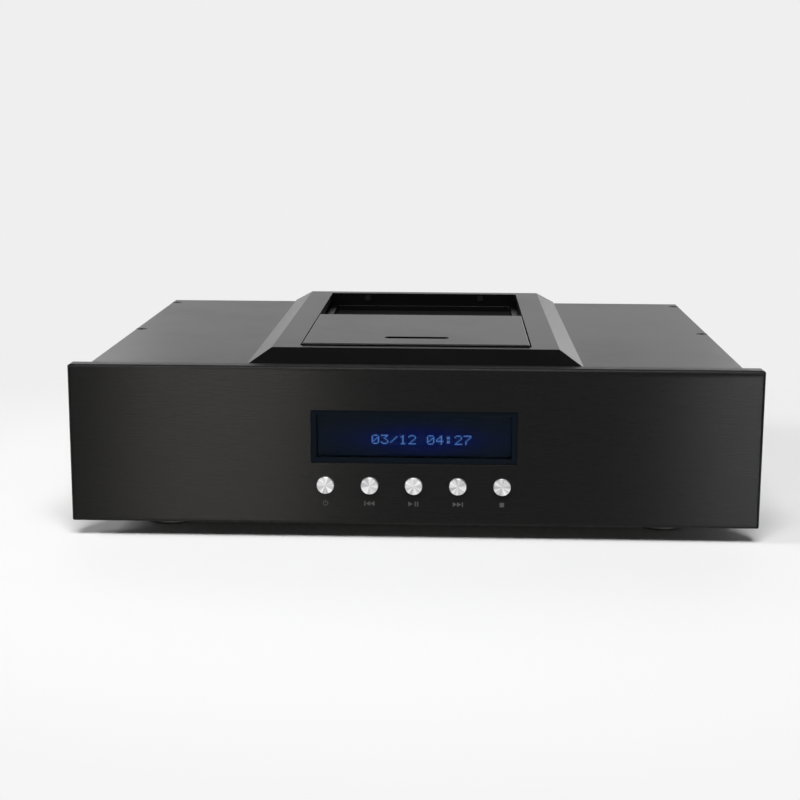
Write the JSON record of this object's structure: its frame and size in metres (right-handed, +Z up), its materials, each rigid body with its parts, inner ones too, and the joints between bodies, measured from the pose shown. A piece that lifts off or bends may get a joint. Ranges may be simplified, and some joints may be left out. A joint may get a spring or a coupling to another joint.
{
  "type": "cd transport",
  "caption": "Flat black disc transport with a thick front panel, a display, push buttons and a top door that slides back from the disc well.",
  "frame": {"origin": "on the floor, under the middle of the part's box", "axes": "+X to the right seen from the front, +Y to the back, +Z up"},
  "size_m": [0.43, 0.332, 0.1194],
  "materials": {
    "panel_black": "black satin anodised",
    "case_black": "black bead-blasted anodised",
    "plate_black": "black powder coat",
    "window_tint": "polished tinted acrylic",
    "display_blue": "lit liquid-crystal glass",
    "button_silver": "turned and polished",
    "circuit_board": "solder mask",
    "moulded_black": "fine moulded grain",
    "zinc_steel": "zinc plated",
    "screw_black": "black oxide",
    "foot_black": "satin moulded",
    "rubber_black": "matt",
    "slide_black": "waxy low-friction strip",
    "nickel": "nickel plated",
    "clamp_silver": "turned",
    "lens_glass": "coated lens",
    "gear_nylon": "moulded nylon",
    "brass": "machined",
    "socket_gold": "gold plated",
    "winding": "varnished tape over windings",
    "sink_black": "black anodised"
  },
  "bodies": {
    "chassis": {"front_panel": "panel_black", "top_plate": "case_black", "door_surround": "case_black", "side_panel_left": "case_black", "side_panel_right": "case_black", "rear_panel": "case_black", "bottom_plate": "plate_black", "well_deck": "plate_black", "display_window": "window_tint", "display_glass": "display_blue", "control_board": "circuit_board", "power_board": "circuit_board", "main_board": "circuit_board", "tact_switches": "moulded_black", "main_chips": "moulded_black", "capacitors": "moulded_black", "door_sensor": "moulded_black", "mains_inlet": "moulded_black", "switch_housing": "moulded_black", "wiring_loom": "moulded_black", "display_frame": "zinc_steel", "corner_brackets": "zinc_steel", "bracket_screws": "zinc_steel", "surround_screws": "zinc_steel", "foot_screws": "zinc_steel", "drive_base": "zinc_steel", "drive_posts": "zinc_steel", "spindle_motor": "zinc_steel", "sled_motor": "zinc_steel", "transformer_bolt": "zinc_steel", "case_screws": "screw_black", "feet": "foot_black", "foot_pads": "rubber_black", "door_bumpers": "rubber_black", "drive_dampers": "rubber_black", "transformer_pads": "rubber_black", "guide_rods": "nickel", "balanced_socket": "nickel", "clock_socket": "nickel", "socket_pins": "nickel", "board_standoffs": "brass", "coax_socket": "socket_gold", "transformer": "winding", "heat_sinks": "sink_black"},
    "door": {"disc_door": "case_black", "door_slides": "slide_black", "door_magnet": "nickel"},
    "turntable": {"turntable": "moulded_black", "spindle_shaft": "nickel", "disc_clamp": "clamp_silver"},
    "sled": {"laser_sled": "moulded_black", "objective_lens": "lens_glass"},
    "sled_gear": {"sled_gear": "gear_nylon"},
    "motor_pinion": {"motor_pinion": "brass"},
    "mains_rocker": {"mains_rocker": "moulded_black"},
    "standby_button": {"standby_button": "button_silver"},
    "previous_button": {"previous_button": "button_silver"},
    "play_button": {"play_button": "button_silver"},
    "next_button": {"next_button": "button_silver"},
    "stop_button": {"stop_button": "button_silver"}
  },
  "joints": [
    {"name": "door_slide", "type": "slide", "parent": "chassis", "child": "door", "axis": [0, 1, 0], "range_m": [0, 0.1298]},
    {"name": "turntable_spin", "type": "hinge", "parent": "chassis", "child": "turntable", "pos_m": [0, -0.0656, 0.0975], "axis": [0, 0, 1], "continuous": true},
    {"name": "sled_slide", "type": "slide", "parent": "chassis", "child": "sled", "axis": [0, 1, 0], "range_m": [0, 0.034]},
    {"name": "sled_gear_spin", "type": "hinge", "parent": "chassis", "child": "sled_gear", "pos_m": [0.0328, -0.0276, 0.0866], "axis": [0, 0, 1], "range_deg": [-412, 4]},
    {"name": "motor_pinion_spin", "type": "hinge", "parent": "chassis", "child": "motor_pinion", "pos_m": [0.0328, -0.0124, 0.085], "axis": [0, 0, 1], "range_deg": [-10, 1810]},
    {"name": "mains_rocker_tilt", "type": "hinge", "parent": "chassis", "child": "mains_rocker", "pos_m": [-0.102, 0.149, 0.051], "axis": [1, 0, 0], "range_deg": [-20, 0]},
    {"name": "standby_press", "type": "slide", "parent": "chassis", "child": "standby_button", "axis": [0, 1, 0], "range_m": [0, 0.0012], "stiffness_N_per_m": 500},
    {"name": "previous_press", "type": "slide", "parent": "chassis", "child": "previous_button", "axis": [0, 1, 0], "range_m": [0, 0.0012], "stiffness_N_per_m": 500},
    {"name": "play_press", "type": "slide", "parent": "chassis", "child": "play_button", "axis": [0, 1, 0], "range_m": [0, 0.0012], "stiffness_N_per_m": 500},
    {"name": "next_press", "type": "slide", "parent": "chassis", "child": "next_button", "axis": [0, 1, 0], "range_m": [0, 0.0012], "stiffness_N_per_m": 500},
    {"name": "stop_press", "type": "slide", "parent": "chassis", "child": "stop_button", "axis": [0, 1, 0], "range_m": [0, 0.0012], "stiffness_N_per_m": 500}
  ],
  "couplings": [
    {"joint": "sled_gear_spin", "follows": "sled_slide", "rad_per_m": -208.33},
    {"joint": "motor_pinion_spin", "follows": "sled_slide", "rad_per_m": 922.62}
  ]
}
